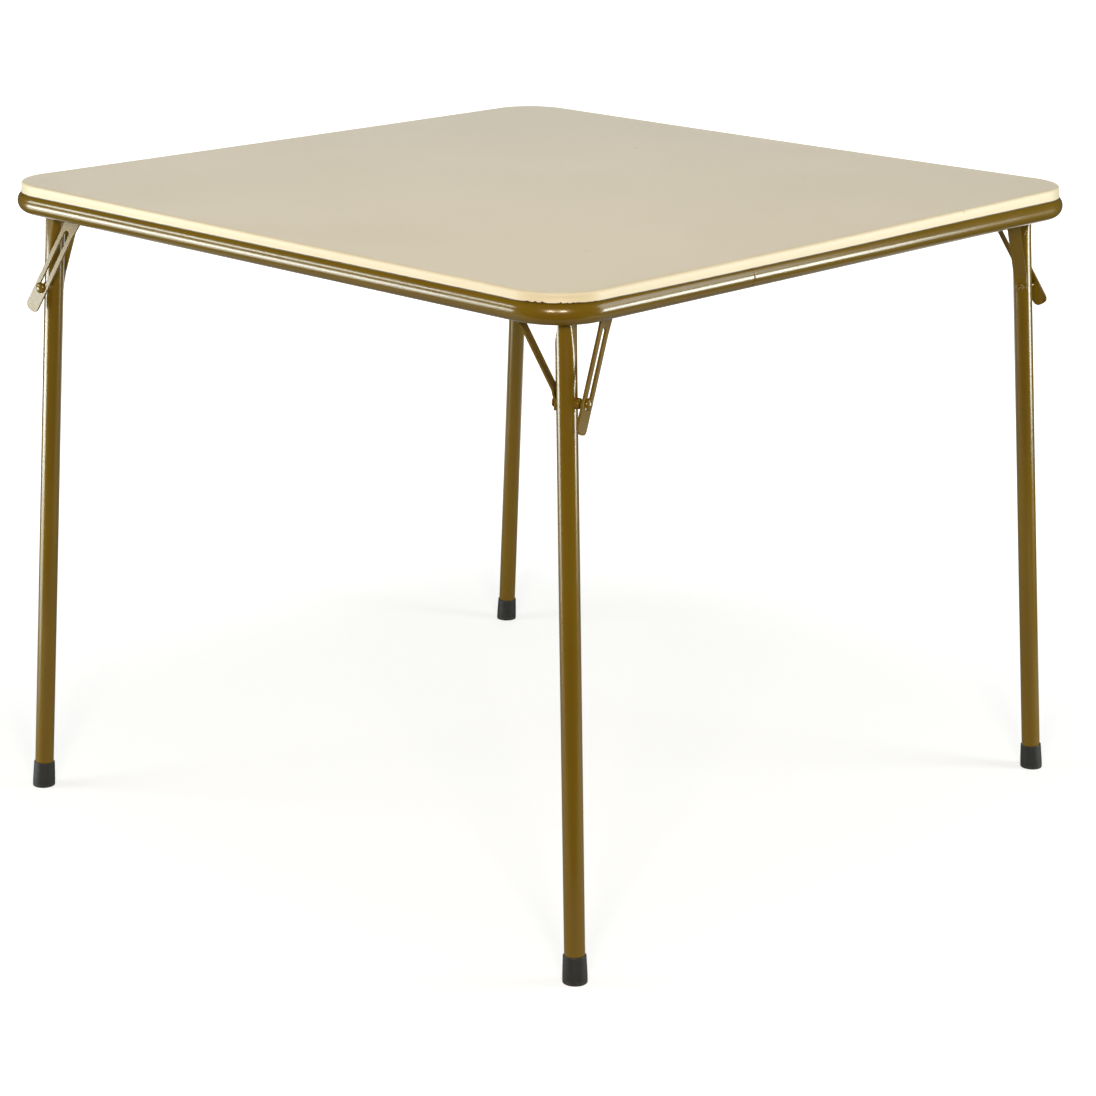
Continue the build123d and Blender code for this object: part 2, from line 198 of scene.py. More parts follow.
def object_from_mesh(
    mesh: bpy.types.Mesh, name: str, material: bpy.types.Material, sharp: float = 40.0
) -> bpy.types.Object:
    """Links a mesh to the scene with outward faces, smooth shading and one material.

    Args:
        mesh: The mesh, in metres in the table's frame.
        name: Name of the object.
        material: Its material.
        sharp: Angle above which an edge stays sharp, in degrees.

    Returns:
        The new object.
    """
    work = bmesh.new()
    work.from_mesh(mesh)
    bmesh.ops.remove_doubles(work, verts=work.verts, dist=SAME_PLACE)
    bmesh.ops.recalc_face_normals(work, faces=work.faces)
    work.to_mesh(mesh)
    work.free()
    mesh.materials.clear()
    mesh.materials.append(material)
    mesh.shade_smooth()
    mesh.set_sharp_from_angle(angle=math.radians(sharp))
    return linked(name, mesh)


def applied(source: bpy.types.Object, name: str) -> bpy.types.Mesh:
    """Plain mesh of an object with its modifiers, after which the object is removed.

    Args:
        source: Object whose modifiers are applied.
        name: Name of the new mesh.

    Returns:
        The evaluated mesh.
    """
    depsgraph = bpy.context.evaluated_depsgraph_get()
    mesh = bpy.data.meshes.new_from_object(source.evaluated_get(depsgraph))
    mesh.name = name
    bpy.data.objects.remove(source, do_unlink=True)
    return mesh


@dataclass
class Shell:
    """A closed stack of rings with the same number of points, in millimetres."""

    rings: list[list[Vector]] = field(default_factory=list)
    marks: list[float] = field(default_factory=list)

    def add(self, ring: list[Vector], mark: float = 0.0) -> None:
        """Adds a ring, with the painted-shade mark that its points carry."""
        self.rings.append(ring)
        self.marks.append(mark)

    def make(self, name: str, material: bpy.types.Material, sharp: float = 40.0) -> bpy.types.Object:
        """Makes the object, with a face on each end of the stack.

        Args:
            name: Name of the object.
            material: Its material.
            sharp: Angle above which an edge stays sharp, in degrees.

        Returns:
            The new object.
        """
        count = len(self.rings[0])
        last = (len(self.rings) - 1) * count
        faces: list[tuple[int, ...]] = []
        for low in range(0, last, count):
            for first in range(count):
                second = (first + 1) % count
                faces.append((low + first, low + second, low + count + second, low + count + first))
        faces += [tuple(range(count - 1, -1, -1)), tuple(range(last, last + count))]
        mesh = bpy.data.meshes.new(name)
        mesh.from_pydata([point * MM for ring in self.rings for point in ring], [], faces)
        if any(self.marks):
            values = [mark for mark in self.marks for _ in range(count)]
            mesh.attributes.new(HEM_SHADE_MARK, "FLOAT", "POINT").data.foreach_set("value", values)
        return object_from_mesh(mesh, name, material, sharp)


def smooth_step(value: float) -> float:
    """Smooth ramp from 0 to 1 for a value that is clamped to that range."""
    clamped = min(max(value, 0.0), 1.0)
    return clamped * clamped * (3 - 2 * clamped)


def wave(index: int, pace: float, sway: float, slow: float, shift: float = 0.0) -> float:
    """Uneven wave from 0 to 1 along the points of an outline."""
    return 0.5 + 0.5 * math.sin(index * pace + sway * math.sin(index * slow + shift))


def arc(steps: int, start: float = 0.0, end: float = 90.0) -> list[Point]:
    """Cosine and sine at even steps from one angle to another, in degrees."""
    angles = [math.radians(start + (end - start) * step / steps) for step in range(steps + 1)]
    return [(math.cos(angle), math.sin(angle)) for angle in angles]


def rounded_square(side: float, radius: float, corner_steps: int, side_steps: int) -> list[Vector]:
    """Outline of a square with round corners, anticlockwise from the front corner's end.

    Args:
        side: Width across the flats.
        radius: Radius of the corners.
        corner_steps: Steps along each corner.
        side_steps: Steps along each straight side.

    Returns:
        The outline's points at height zero.
    """
    points: list[Vector] = []
    reach = side / 2 - radius
    bend = [(radius * x - reach, radius * y - reach) for x, y in arc(corner_steps, 180.0, 270.0)[:-1]]
    straight = [(-reach + 2 * reach * step / side_steps, -side / 2) for step in range(side_steps)]
    for quarter in range(4):
        turn = Matrix.Rotation(math.radians(90 * quarter), 3, "Z")
        points += [turn @ Vector((x, y, 0)) for x, y in bend + straight]
    return points


# Geometry node trees


class NodeTree:
    """A node tree that is filled by short calls."""

    def __init__(self, tree: bpy.types.NodeTree) -> None:
        """Takes the tree to fill."""
        self.tree = tree

    def add(self, kind: str, inputs: Optional[dict] = None, **settings: object) -> bpy.types.NodeOutputs:
        """Adds a node.

        Args:
            kind: The node's type.
            inputs: A value or an output socket for each input, by name or number.
            settings: Properties of the node.

        Returns:
            The new node's outputs.
        """
        node = self.tree.nodes.new(kind)
        for name, value in settings.items():
            setattr(node, name, value)
        self.fill(node, inputs or {})
        return node.outputs

    def fill(self, node: bpy.types.Node, inputs: dict) -> None:
        """Sets or links inputs of a node.

        Args:
            node: The node.
            inputs: A value or an output socket for each input, by name or number.
        """
        for key, value in inputs.items():
            socket = node.inputs[key]
            if isinstance(value, bpy.types.NodeSocket):
                self.tree.links.new(value, socket)
            else:
                socket.default_value = value

    def math(self, operation: str, first: object, second: object = 0.0) -> bpy.types.NodeSocket:
        """Adds a maths node and gives its result."""
        return self.add("ShaderNodeMath", {0: first, 1: second}, operation=operation)[0]


class GeometryTree(NodeTree):
    """A geometry node tree with named inputs that ends in one material."""

    def __init__(self, name: str, inputs: dict[str, str]) -> None:
        """Makes the tree.

        Args:
            name: The tree's name.
            inputs: The socket type of each named input.
        """
        group = bpy.data.node_groups.new(name, "GeometryNodeTree")
        super().__init__(group)
        for label, kind in {"Geometry": "Geometry", **inputs, "Material": "Material"}.items():
            group.interface.new_socket(label, in_out="INPUT", socket_type=f"NodeSocket{kind}")
        group.interface.new_socket("Geometry", in_out="OUTPUT", socket_type="NodeSocketGeometry")
        self.inputs = self.add("NodeGroupInput")

    def finish(self, geometry: bpy.types.NodeSocket) -> None:
        """Ends the tree with realized instances and the material.

        Args:
            geometry: The finished geometry.
        """
        real = self.add("GeometryNodeRealizeInstances", {"Geometry": geometry})[0]
        ends = {"Geometry": real, "Material": self.inputs["Material"]}
        self.add("NodeGroupOutput", {"Geometry": self.add("GeometryNodeSetMaterial", ends)[0]})

    def run(self, source: bpy.types.Object, values: dict[str, object], name: str) -> bpy.types.Mesh:
        """Runs the tree on an object and gives the plain mesh.

        Args:
            source: Object that the tree starts from. It is removed.
            values: The value of each named input.
            name: Name of the new mesh.

        Returns:
            The tree's result as a plain mesh.
        """
        modifier = source.modifiers.new("tree", "NODES")
        modifier.node_group = self.tree
        for item in self.tree.interface.items_tree:
            if item.item_type == "SOCKET" and item.in_out == "INPUT" and item.name in values:
                modifier[item.identifier] = values[item.name]
        source.update_tag()
        return applied(source, name)


def swept_tube_tree() -> GeometryTree:
    """Tree that rounds a path's corners and sweeps a closed tube along it, scaled by the path's radius.

    Returns:
        The tree.
    """
    tree = GeometryTree("swept_tube", {"Tube Radius": "Float", "Corner Radius": "Float", "Sides": "Int"})
    bends = {"Curve": tree.inputs["Geometry"], "Count": 40, "Radius": tree.inputs["Corner Radius"]}
    rounded = tree.add("GeometryNodeFilletCurve", bends, mode="POLY")[0]
    ring = {"Resolution": tree.inputs["Sides"], "Radius": tree.inputs["Tube Radius"]}
    circle = tree.add("GeometryNodeCurvePrimitiveCircle", ring, mode="RADIUS")["Curve"]
    scale = tree.add("GeometryNodeInputRadius")[0]
    sweep = {"Curve": rounded, "Profile Curve": circle, "Fill Caps": True, "Scale": scale}
    tree.finish(tree.add("GeometryNodeCurveToMesh", sweep)[0])
    return tree


def turned_part_tree() -> GeometryTree:
    """Tree that turns a profile about its axis and sets a copy at each point.

    The points carry the attributes axis and across. The profile is an object whose vertices run from the axis
    at one end to the axis at the other, with the radius in x and the height in z.

    Returns:
        The tree.
    """
    tree = GeometryTree("turned_parts", {"Profile": "Object", "Sides": "Int"})
    shown = {"Object": tree.inputs["Profile"]}
    profile = tree.add("GeometryNodeObjectInfo", shown, transform_space="ORIGINAL")["Geometry"]
    size = tree.add("GeometryNodeAttributeDomainSize", {"Geometry": profile}, component="MESH")
    count = size["Point Count"]
    columns = tree.math("ADD", tree.inputs["Sides"], 1.0)
    cells = {"Size X": 1.0, "Size Y": 1.0, "Vertices X": columns, "Vertices Y": count}
    grid = tree.add("GeometryNodeMeshGrid", cells)["Mesh"]
    index = tree.add("GeometryNodeInputIndex")[0]
    row = tree.math("MODULO", index, count)
    column = tree.math("FLOOR", tree.math("DIVIDE", tree.math("ADD", index, 0.5), count))
    position = tree.add("GeometryNodeInputPosition")[0]
    wanted = {"Geometry": profile, "Value": position, "Index": row}
    sample = tree.add("GeometryNodeSampleIndex", wanted, data_type="FLOAT_VECTOR", domain="POINT")["Value"]
    parts = tree.add("ShaderNodeSeparateXYZ", {0: sample})
    angle = tree.math("DIVIDE", tree.math("MULTIPLY", column, math.tau), tree.inputs["Sides"])
    x = tree.math("MULTIPLY", parts["X"], tree.math("COSINE", angle))
    y = tree.math("MULTIPLY", parts["X"], tree.math("SINE", angle))
    place = tree.add("ShaderNodeCombineXYZ", {"X": x, "Y": y, "Z": parts["Z"]})[0]
    turned = tree.add("GeometryNodeSetPosition", {"Geometry": grid, "Position": place})[0]
    closed = tree.add("GeometryNodeMergeByDistance", {"Geometry": turned, "Distance": MERGE_REACH})[0]
    axis, across = (
        tree.add("GeometryNodeInputNamedAttribute", {"Name": label}, data_type="FLOAT_VECTOR")[0]
        for label in ("axis", "across")
    )
    upright = tree.add("FunctionNodeAlignRotationToVector", {"Vector": axis}, axis="Z")[0]
    aim = {"Rotation": upright, "Vector": across}
    rotation = tree.add("FunctionNodeAlignRotationToVector", aim, axis="X", pivot_axis="Z")[0]
    copy = {"Points": tree.inputs["Geometry"], "Instance": closed, "Rotation": rotation}
    tree.finish(tree.add("GeometryNodeInstanceOnPoints", copy)[0])
    return tree


@dataclass
class TurnedPart:
    """A round part that stands on the origin of its axes, with z along its own axis.

    The profile runs from the axis at the bottom, out and up, to the axis at the top, in millimetres.
    """

    name: str
    profile: list[Point]
    site: Axes
    sides: int = 40
    sharp: float = 60.0

    def build(self, tree: GeometryTree, material: bpy.types.Material) -> bpy.types.Object:
        """Makes the part.

        Args:
            tree: The turned parts' node tree.
            material: The part's material.

        Returns:
            The new object.
        """
        outline = bpy.data.meshes.new("profile")
        edges = [(i, i + 1) for i in range(len(self.profile) - 1)]
        outline.from_pydata([(radius * MM, 0, height * MM) for radius, height in self.profile], edges, [])
        profile = linked("profile", outline)
        points = bpy.data.meshes.new("site")
        points.from_pydata([self.site.origin * MM], [], [])
        for label, way in (("axis", self.site.z), ("across", self.site.x)):
            points.attributes.new(label, "FLOAT_VECTOR", "POINT").data[0].vector = way
        values = {"Profile": profile, "Sides": self.sides, "Material": material}
        mesh = tree.run(linked("site", points), values, self.name)
        bpy.data.objects.remove(profile, do_unlink=True)
        return object_from_mesh(mesh, self.name, material, self.sharp)


# Finishes


def linear(colour: Colour) -> tuple[float, float, float, float]:
    """Linear colour for a colour written in 8-bit sRGB.

    Args:
        colour: Red, green and blue from 0 to 255.

    Returns:
        The linear colour with full alpha.
    """

    def channel(value: int) -> float:
        """Linear value of one channel."""
        share = value / 255
        return share / 12.92 if share <= 0.04045 else ((share + 0.055) / 1.055) ** 2.4

    red, green, blue = colour
    return (channel(red), channel(green), channel(blue), 1.0)


class SurfaceTree(NodeTree):
    """A material's node tree around one Principled shader."""

    def __init__(self, name: str) -> None:
        """Makes the material.

        Args:
            name: Name of the material.
        """
        self.material = bpy.data.materials.new(name)
        self.material.use_nodes = True
        super().__init__(self.material.node_tree)
        self.shader = self.tree.nodes["Principled BSDF"]
        self.place = self.add("ShaderNodeTexCoord")["Object"]

    def set(self, **values: object) -> None:
        """Sets or links inputs of the shader, with underscores for spaces in their names."""
        self.fill(self.shader, {label.replace("_", " "): value for label, value in values.items()})

    def noise(
        self, scale: float, detail: float = 2.0, stretch: Vector = Vector((1, 1, 1))
    ) -> bpy.types.NodeSocket:
        """Noise from 0 to 1 with this many features in a metre."""
        place = self.add("ShaderNodeMapping", {"Vector": self.place, "Scale": stretch})[0]
        return self.add("ShaderNodeTexNoise", {"Vector": place, "Scale": scale, "Detail": detail})["Fac"]

    def cells(self, scale: float, feature: str = "F1") -> bpy.types.NodeSocket:
        """Distance in a cell pattern with this many cells in a metre.

        Args:
            scale: Cells in a metre.
            feature: The kind of distance.

        Returns:
            The distance.
        """
        inputs = {"Vector": self.place, "Scale": scale}
        if feature == "SMOOTH_F1":
            inputs["Smoothness"] = 0.6
        return self.add("ShaderNodeTexVoronoi", inputs, feature=feature)["Distance"]

    def ramp(
        self, value: object, low: float, high: float, start: float = 0.0, end: float = 1.0
    ) -> bpy.types.NodeSocket:
        """A value taken smoothly from one range to another."""
        inputs = {"Value": value, "From Min": low, "From Max": high, "To Min": start, "To Max": end}
        return self.add("ShaderNodeMapRange", inputs, interpolation_type="SMOOTHSTEP")[0]

    def mix(self, share: object, first: object, second: object) -> bpy.types.NodeSocket:
        """Two colours mixed, each a socket or a colour in 8-bit sRGB."""
        ends = [end if isinstance(end, bpy.types.NodeSocket) else linear(end) for end in (first, second)]
        return self.add("ShaderNodeMix", {0: share, 6: ends[0], 7: ends[1]}, data_type="RGBA")[2]

    def bump(self, height: object, distance: float, strength: float, **over: object) -> bpy.types.NodeSocket:
        """A bump of this height in metres, over another one that is given as Normal."""
        inputs = {"Height": height, "Distance": distance, "Strength": strength, **over}
        return self.add("ShaderNodeBump", inputs)[0]


@dataclass(frozen=True)
class Finish:
    """A material, made by its own class."""

    name: str
    colour: Colour

    def build(self) -> bpy.types.Material:
        """Makes the material.

        Returns:
            The material.
        """
        surface = SurfaceTree(self.name)
        self.dress(surface)
        return surface.material

    def dress(self, surface: SurfaceTree) -> None:
        """Fills the material's node tree."""
        raise NotImplementedError


@dataclass(frozen=True)
class GoldEnamel(Finish):
    """Bronze gold enamel, sprayed on steel: fine flake under a clear gloss, slight orange peel and haze."""

    name: str = "gold_enamel"
    colour: Colour = (111, 86, 10)
    shade: Colour = (106, 81, 9)
    flake: Colour = (144, 112, 30)

    def dress(self, surface: SurfaceTree) -> None:
        """Fills the material's node tree.

        Args:
            surface: The material's node tree.
        """
        base = surface.mix(surface.ramp(surface.noise(7.0, 3.0), 0.3, 0.7), self.shade, self.colour)
        flake = surface.ramp(surface.cells(3200.0), 0.0, 0.6, 1.0, 0.0)
        surface.set(Base_Color=surface.mix(surface.math("MULTIPLY", flake, 0.1), base, self.flake))
        surface.set(Metallic=0.06, Roughness=0.34, IOR=1.5, Specular_IOR_Level=0.05)
        haze = surface.ramp(surface.noise(26.0, 5.0), 0.3, 0.75, 0.18, 0.23)
        surface.set(Coat_Weight=0.95, Coat_Roughness=haze, Coat_IOR=1.5)
        peel = surface.bump(surface.noise(300.0), 0.00002, 0.3)
        surface.set(Normal=peel, Coat_Normal=peel)


@dataclass(frozen=True)
class EmbossedVinyl(Finish):
    """Beige vinyl sheet with a fine pebbled grain, faint clouds and a few rubbed spots, with painted shade
    along its cut hem for the shaded gap above the rail.
    """

    name: str = "embossed_vinyl"
    colour: Colour = (225, 210, 181)
    cloud: Colour = (222, 207, 177)
    # Painted shade: the dark colour of the hem, standing for the shadow in the gap between the hem and the
    # rail.
    hem_shade: Colour = (62, 43, 16)
    soil: Colour = (176, 150, 112)

    def dress(self, surface: SurfaceTree) -> None:
        """Fills the material's node tree.

        Args:
            surface: The material's node tree.
        """
        mottled = surface.mix(surface.ramp(surface.noise(5.0, 5.0), 0.3, 0.7), self.colour, self.cloud)
        speck = surface.ramp(surface.noise(60.0, 1.0), 0.78, 0.82, 0.0, 0.3)
        spotted = surface.mix(speck, mottled, self.soil)
        hem = surface.add("ShaderNodeAttribute", attribute_name=HEM_SHADE_MARK)["Fac"]
        # The hem mark mixes in painted shade, the shadow in the gap under the hem.
        surface.set(Base_Color=surface.mix(surface.ramp(hem, 0.2, 0.9), spotted, self.hem_shade))
        rub = surface.ramp(surface.noise(9.0, 4.0), 0.3, 0.7, 0.44, 0.46)
        surface.set(Roughness=rub, IOR=1.5, Specular_IOR_Level=0.6, Sheen_Weight=0.14, Sheen_Roughness=0.4)
        pebble = surface.bump(surface.cells(900.0, "SMOOTH_F1"), 0.0001, 0.3)
        surface.set(Normal=surface.bump(surface.noise(2600.0), 0.00003, 0.25, Normal=pebble))


@dataclass(frozen=True)
class BlackRubber(Finish):
    """Black moulded rubber, dusty near the floor."""

    name: str = "black_rubber"
    colour: Colour = (32, 32, 32)
    dust: Colour = (64, 61, 57)

    def dress(self, surface: SurfaceTree) -> None:
        """Fills the material's node tree.

        Args:
            surface: The material's node tree.
        """
        height = surface.add("ShaderNodeSeparateXYZ", {0: surface.place})["Z"]
        low = surface.ramp(height, 0.0, 0.006, 1.0, 0.0)
        dusty = surface.math("MULTIPLY", low, surface.ramp(surface.noise(400.0, 5.0), 0.35, 0.7))
        surface.set(Base_Color=surface.mix(dusty, self.colour, self.dust))
        surface.set(Roughness=surface.ramp(surface.noise(220.0, 4.0), 0.3, 0.7, 0.42, 0.6), IOR=1.5)
        surface.set(Normal=surface.bump(surface.noise(1500.0, 3.0), 0.00006, 0.3))


@dataclass(frozen=True)
class PlatedSteel(Finish):
    """Zinc plated steel with fine tool marks."""

    name: str = "plated_steel"
    colour: Colour = (176, 174, 166)
    tint: Colour = (160, 152, 130)

    def dress(self, surface: SurfaceTree) -> None:
        """Fills the material's node tree.

        Args:
            surface: The material's node tree.
        """
        patch = surface.ramp(surface.noise(160.0, 4.0), 0.35, 0.7)
        surface.set(Base_Color=surface.mix(patch, self.colour, self.tint), Metallic=1.0)
        surface.set(Roughness=surface.ramp(surface.noise(500.0, 3.0), 0.3, 0.7, 0.24, 0.4))
        surface.set(Normal=surface.bump(surface.noise(3000.0), 0.00002, 0.3))


@dataclass(frozen=True)
class Hardboard(Finish):
    """Brown pressed board with the screen pattern of its back and loose fibres."""

    name: str = "hardboard"
    colour: Colour = (118, 84, 54)
    fibre: Colour = (150, 113, 76)

    def dress(self, surface: SurfaceTree) -> None:
        """Fills the material's node tree.

        Args:
            surface: The material's node tree.
        """
        strands, crossing = (surface.noise(260.0, 6.0, Vector(way)) for way in ((1, 0.3, 1), (0.3, 1, 1)))
        fibres = surface.ramp(surface.math("MAXIMUM", strands, crossing), 0.5, 0.72)
        surface.set(Base_Color=surface.mix(fibres, self.colour, self.fibre), Roughness=0.78)
        wires = {"Vector": surface.place, "Scale": 130.0}
        waves = [surface.add("ShaderNodeTexWave", wires, bands_direction=way)["Fac"] for way in "XY"]
        pressed = surface.bump(surface.math("MULTIPLY", *waves), 0.00025, 0.5)
        surface.set(Normal=surface.bump(fibres, 0.00008, 0.4, Normal=pressed))


@dataclass(frozen=True)
class OpenFoam(Finish):
    """Pale yellow open-cell foam."""

    name: str = "open_foam"
    colour: Colour = (226, 214, 170)
    pore: Colour = (190, 170, 118)

    def dress(self, surface: SurfaceTree) -> None:
        """Fills the material's node tree.

        Args:
            surface: The material's node tree.
        """
        pores = surface.ramp(surface.cells(1100.0), 0.15, 0.6)
        surface.set(Base_Color=surface.mix(pores, self.pore, self.colour), Roughness=0.9)
        surface.set(Normal=surface.bump(pores, 0.0003, 0.6))


@dataclass
class Finishes:
    """Every finish, made once."""

    gold: bpy.types.Material = field(default_factory=lambda: GoldEnamel().build())
    vinyl: bpy.types.Material = field(default_factory=lambda: EmbossedVinyl().build())
    rubber: bpy.types.Material = field(default_factory=lambda: BlackRubber().build())
    steel: bpy.types.Material = field(default_factory=lambda: PlatedSteel().build())
    board: bpy.types.Material = field(default_factory=lambda: Hardboard().build())
    foam: bpy.types.Material = field(default_factory=lambda: OpenFoam().build())


@dataclass
class Dresser:
    """Fits finished pieces to the CAD frame."""

    finishes: Finishes
    count: int = 0

    def place(self, piece: bpy.types.Object, body: str, slot: str, replaced: str) -> None:
        """Makes a piece ride on a body.

        Args:
            piece: The finished piece, at the origin.
            body: CAD body that it moves with.
            slot: Name of a material slot; it is not used.
            replaced: CAD node that it stands for.
        """
        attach(piece, body)
        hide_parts(replaced)
        self.count += 1
        log.info("%s rides on %s, %d faces", piece.name, body, len(piece.data.polygons))

    def paint_node(self, node: str, material: bpy.types.Material) -> None:
        """Gives a CAD node that stays a finish.

        Args:
            node: Name of the CAD node.
            material: Its material.
        """
        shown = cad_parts[node]
        if not shown.material_slots:
            shown.data.materials.append(material)
        for place in shown.material_slots:
            place.link = "OBJECT"
            place.material = material
        log.info("%s keeps its CAD shape in %s", node, material.name)


# Sub-assemblies


@dataclass
class Rail:
    """Square ring of round tube whose ends meet at a seam in one side, over a sleeve."""

    sizes: TableSizes
    seam_from_middle: float = 149.0
    seam_gap: float = 0.3
    end_round: float = 0.5
    sides: int = 64

    def path(self) -> bpy.types.Object:
        """Open path from one side of the seam to the other, with a smaller radius at its ends.

        Returns:
            The path's object.
        """
        line = self.sizes.side / 2 - self.sizes.rail_radius
        seam = -self.seam_from_middle
        start, end = seam + self.seam_gap / 2, seam - self.seam_gap / 2
        rounding = [(0.0, 0.94), (0.15, 0.972), (0.5, 0.992), (1.0, 1.0), (2.0, 1.0), (5.0, 1.0), (20.0, 1.0)]
        rounding = [(share * self.end_round, radius) for share, radius in rounding]
        stations = [(start + shift, -line, radius) for shift, radius in rounding]
        stations += [(line, -line, 1.0), (line, line, 1.0), (-line, line, 1.0), (-line, -line, 1.0)]
        stations += [(end - shift, -line, radius) for shift, radius in reversed(rounding)]
        curve = bpy.data.curves.new("rail_path", "CURVE")
        curve.dimensions = "3D"
        spline = curve.splines.new("POLY")
        spline.points.add(len(stations) - 1)
        for point, (x, y, radius) in zip(spline.points, stations):
            point.co = (x * MM, y * MM, self.sizes.rail_height * MM, 1.0)
            point.radius = radius
        return linked("rail_path", curve)

    def build(self, dresser: Dresser) -> None:
        """Makes the ring and finishes the sleeve in its seam.

        Args:
            dresser: Fits the pieces to the CAD frame.
        """
        values = {
            "Tube Radius": self.sizes.rail_radius * MM,
            "Corner Radius": (self.sizes.corner_radius - self.sizes.rail_radius) * MM,
            "Sides": self.sides,
            "Material": dresser.finishes.gold,
        }
        mesh = swept_tube_tree().run(self.path(), values, "rail_ring")
        ring = object_from_mesh(mesh, "rail_ring", dresser.finishes.gold, 50.0)
        dresser.place(ring, TOP_FRAME, PAINT_SLOT, "rail_tube")
        dresser.paint_node("rail_sleeve", dresser.finishes.steel)


@dataclass
class PaddedTop:
    """Vinyl drawn over foam and board, with its cut hem standing just off the rail and painted shade along
    the hem for the shaded gap above the rail.

    The pad swells a little away from the front corner. The vinyl hangs loose at the front corner, and loose
    and low on the front right side.
    """

    sizes: TableSizes
    inset: float = 4.8
    thickness: float = 0.8
    edge_radius: float = 3.0
    hem_height: float = 693.82
    hem_slant: float = 0.7
    hem_flare: float = 0.7
    # Height of the band of painted shade along the hem.
    dark_height: float = 0.8
    flare_height: float = 2.1
    hem_jag: float = 0.9
    front_jag: float = 1.3
    side_jag: float = 0.12
    slack: float = 1.2
    slack_drop: float = 0.75
    slack_corner: float = 0.7
    swell: float = 0.4
    left_swell: float = 2.3
    right_swell: float = 3.3
    foam_thickness: float = 2.5
    corner_steps: int = 120
    side_steps: int = 300
    spread: tuple[float, ...] = (420.0, 380.0, 290.0, 200.0, 120.0, 60.0, 30.0, 12.0)

    def outline(self, inset: float) -> list[Vector]:
        """Outline at an inset from the vinyl's outer face.

        Args:
            inset: The inset.

        Returns:
            The outline's points at height zero.
        """
        side = self.sizes.side - 2 * (self.inset + inset)
        radius = max(self.sizes.corner_radius - self.inset - inset, 1.0)
        return rounded_square(side, radius, self.corner_steps, self.side_steps)

    def jag(self, index: int) -> float:
        """Height of the ragged cut above the straight hem at a point of the outline.

        Args:
            index: Number of the point.

        Returns:
            The height.
        """
        step = index % (self.corner_steps + self.side_steps)
        inside = min(step, self.corner_steps - step) / (self.corner_steps / 2)
        raggedness = smooth_step(inside * 1.6 + 0.15) if step <= self.corner_steps else self.side_jag
        teeth, broken = wave(index, 1.1, 2.6, 0.53), wave(index, 0.47, 2.3, 0.17, 1.0)
        reach = self.front_jag if index <= self.corner_steps else self.hem_jag
        return reach * raggedness * teeth * broken

    def rise(self, point: Vector) -> float:
        """How far the pad swells above the plain height at a point of the outline."""
        aside = (point.x - point.y) / self.sizes.side
        return self.swell + aside * aside * (self.right_swell if aside > 0 else self.left_swell)

    def loose(self, point: Vector) -> Vector:
        """Outward way, up to 1 long, by which the vinyl hangs loose at the front corner and to its right.

        Args:
            point: A point of the outline.

        Returns:
            The outward way.
        """
        side = self.sizes.side
        from_corner = Vector((point.x + side / 2, point.y + side / 2)).length
        corner = smooth_step(2 - from_corner / (0.07 * side))
        near = smooth_step((-point.y - 0.4 * side) / (0.08 * side))
        start = smooth_step(point.x / (0.25 * side) + 2)
        reach = near * start * (1 - smooth_step(point.x / (0.35 * side) + 0.2))
        return Vector((0, -reach)).lerp(Vector((-self.slack_corner, -self.slack_corner)), corner)

    def shell(self) -> Shell:
        """Closed shell of the vinyl: inner face, cut hem and outer face.

        Returns:
            The shell.
        """
        shell = Shell()
        top = self.sizes.height

        def level(
            inset: float, height: float, jagged: bool = False, low: bool = False, mark: float = 0.0
        ) -> None:
            """Adds a ring.

            Args:
                inset: The ring's inset from the vinyl's outer face.
                height: Its plain height.
                jagged: Whether it follows the ragged cut.
                low: Whether it hangs low with the loose vinyl instead of swelling with the pad.
                mark: How much painted shade it carries, from 0 to 1.
            """
            ring = []
            for index, point in enumerate(self.outline(inset)):
                way = self.loose(point) if inset < self.spread[-1] else Vector((0, 0))
                lift = self.jag(index) if jagged else 0.0
                lift += self.slack_drop * self.slack * (way.y - way.x) if low else self.rise(point)
                x, y = point.x + self.slack * way.x, point.y + self.slack * way.y
                ring.append(Vector((x, y, height + lift)))
            shell.add(ring, mark)

        radius = self.edge_radius
        inner = radius - self.thickness
        for inset in self.spread:
            level(inset, top - self.thickness)
        for x, y in arc(6):
            level(radius - inner * y, top - radius + inner * x)
        level(self.thickness, self.hem_height + 2.0, low=True)
        cut, flare = self.hem_height - self.hem_slant, self.hem_flare
        # These hem rings carry painted shade (mark 1.0) for the shadow in the gap between the hem and the
        # rail.
        level(self.thickness + 0.02 - flare, self.hem_height, True, True, 1.0)
        level(self.thickness * 0.5 - flare, cut + 0.5 * self.hem_slant, True, True, 1.0)
        level(0.08 - flare, cut, True, True, 1.0)
        level(-flare, cut + self.dark_height, True, True, 1.0)
        level(-flare, cut + self.dark_height + 0.3, True, True)
        level(0.0, self.hem_height + self.flare_height, low=True)
        for x, y in arc(10, 90.0, 0.0):
            level(radius - radius * y, top - radius + radius * x)
        for inset in (6.0,) + self.spread[::-1]:
            level(inset, top)
        return shell

    def pad(self) -> Shell:
        """Closed shell of the foam under the vinyl.

        Returns:
            The shell.
        """
        skin = self.thickness + 0.1
        edge = self.edge_radius - self.thickness
        bottom = self.sizes.height - self.thickness - self.foam_thickness + 0.02
        top = self.sizes.height - self.thickness - 0.05
        levels = [(skin + 2.0, bottom), (skin + 0.3, bottom), (skin, bottom + 0.3)]
        levels += [(skin + edge - edge * x, top - edge + edge * y) for x, y in arc(5)]
        shell = Shell()
        for inset, height in levels:
            shell.add([Vector((p.x, p.y, height)) for p in self.outline(inset)])
        return shell

